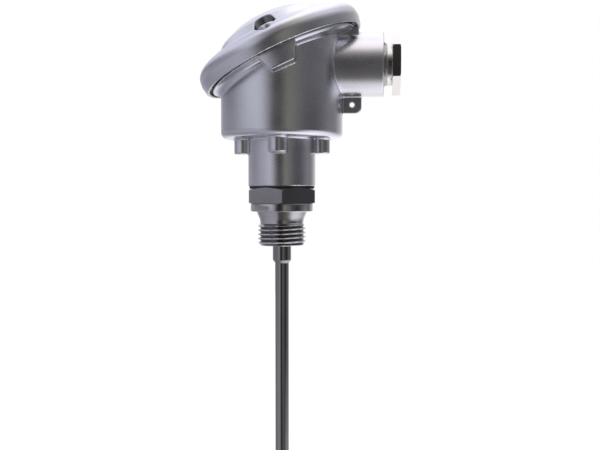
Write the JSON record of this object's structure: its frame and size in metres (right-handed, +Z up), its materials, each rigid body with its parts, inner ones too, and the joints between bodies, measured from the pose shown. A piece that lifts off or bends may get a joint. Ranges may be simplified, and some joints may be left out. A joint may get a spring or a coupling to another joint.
{
  "type": "resistance thermometer with terminal head",
  "caption": "Screw-in resistance thermometer: cast terminal head with slanted screwed lid, cable gland and seal eye, on a hexagon fitting with pipe thread and a stepped tube.",
  "frame": {"origin": "on the tube's axis, half way along the plain length of the process thread", "axes": "+Z up the tube's axis towards the head, +X towards the cable entry, +Y away from the near lid screw"},
  "size_m": [0.0855, 0.0734, 0.2474],
  "materials": {
    "cast": "blasted satin",
    "stainless": "turned and polished",
    "nickel": "bright nickel plate",
    "plated": "zinc plated",
    "spring_steel": "drawn",
    "brass": "turned",
    "rubber": "matte",
    "seal": "matte",
    "ceramic": "glazed"
  },
  "bodies": {
    "head": {"head_body": "cast", "neck_seal": "seal", "process_fitting": "stainless", "protection_tube": "stainless", "gland_seat": "plated", "gland_seal": "rubber", "insert_screw_left": "plated", "insert_screw_right": "plated", "insert_spring_left": "spring_steel", "insert_spring_right": "spring_steel", "ground_screw": "brass", "ground_washer": "plated"},
    "lid": {"lid": "cast", "lid_gasket": "rubber"},
    "near_screw_ride": {"near_washer": "plated", "near_clip": "seal"},
    "near_screw": {"near_screw": "plated"},
    "far_screw_ride": {"far_washer": "plated", "far_clip": "seal"},
    "far_screw": {"far_screw": "plated"},
    "gland_ride": {"gland_washer": "plated"},
    "gland_screw": {"pressure_screw": "nickel"},
    "insert": {"insert_flange": "plated", "insert_sheath": "stainless", "terminal_block": "ceramic", "sensor_element": "ceramic", "terminal_1": "brass", "terminal_2": "brass", "terminal_3": "brass", "terminal_4": "brass"},
    "clamp_1": {"clamp_screw_1": "plated"},
    "clamp_2": {"clamp_screw_2": "plated"},
    "clamp_3": {"clamp_screw_3": "plated"},
    "clamp_4": {"clamp_screw_4": "plated"}
  },
  "joints": [
    {"name": "lid_lift", "type": "slide", "parent": "head", "child": "lid", "axis": [-0.4115, 0, 0.9114], "range_m": [0, 0.03]},
    {"name": "near_screw_rise", "type": "slide", "parent": "lid", "child": "near_screw_ride", "axis": [-0.4115, 0, 0.9114], "range_m": [0, 0.0039]},
    {"name": "near_screw_turn", "type": "hinge", "parent": "near_screw_ride", "child": "near_screw", "pos_m": [-0.00219, -0.0262, 0.08139], "axis": [-0.4115, 0, 0.9114], "range_deg": [-5, 2011]},
    {"name": "far_screw_rise", "type": "slide", "parent": "lid", "child": "far_screw_ride", "axis": [-0.4115, 0, 0.9114], "range_m": [0, 0.0039]},
    {"name": "far_screw_turn", "type": "hinge", "parent": "far_screw_ride", "child": "far_screw", "pos_m": [-0.00219, 0.0262, 0.08139], "axis": [-0.4115, 0, 0.9114], "range_deg": [-5, 2011]},
    {"name": "gland_travel", "type": "slide", "parent": "head", "child": "gland_ride", "axis": [1, 0, 0], "range_m": [-0.0015, 0.0065]},
    {"name": "gland_turn", "type": "hinge", "parent": "gland_ride", "child": "gland_screw", "pos_m": [0.043, 0, 0.0722], "axis": [1, 0, 0], "range_deg": [-365, 1565]},
    {"name": "insert_lift", "type": "slide", "parent": "head", "child": "insert", "axis": [0, 0, 1], "range_m": [0, 0.006], "stiffness_N_per_m": 900, "springref_m": -0.005, "deforming": ["insert_spring_left", "insert_spring_right"]},
    {"name": "clamp_screw_1_turn", "type": "hinge", "parent": "insert", "child": "clamp_1", "pos_m": [0.00749, 0.00749, 0.0588], "axis": [0, 0, 1], "continuous": true},
    {"name": "clamp_screw_2_turn", "type": "hinge", "parent": "insert", "child": "clamp_2", "pos_m": [-0.00749, 0.00749, 0.0588], "axis": [0, 0, 1], "continuous": true},
    {"name": "clamp_screw_3_turn", "type": "hinge", "parent": "insert", "child": "clamp_3", "pos_m": [-0.00749, -0.00749, 0.0588], "axis": [0, 0, 1], "continuous": true},
    {"name": "clamp_screw_4_turn", "type": "hinge", "parent": "insert", "child": "clamp_4", "pos_m": [0.00749, -0.00749, 0.0588], "axis": [0, 0, 1], "continuous": true}
  ],
  "couplings": [
    {"joint": "near_screw_turn", "follows": "near_screw_rise", "rad_per_m": 8976},
    {"joint": "far_screw_turn", "follows": "far_screw_rise", "rad_per_m": 8976},
    {"joint": "gland_turn", "follows": "gland_travel", "rad_per_m": 4188.8}
  ]
}
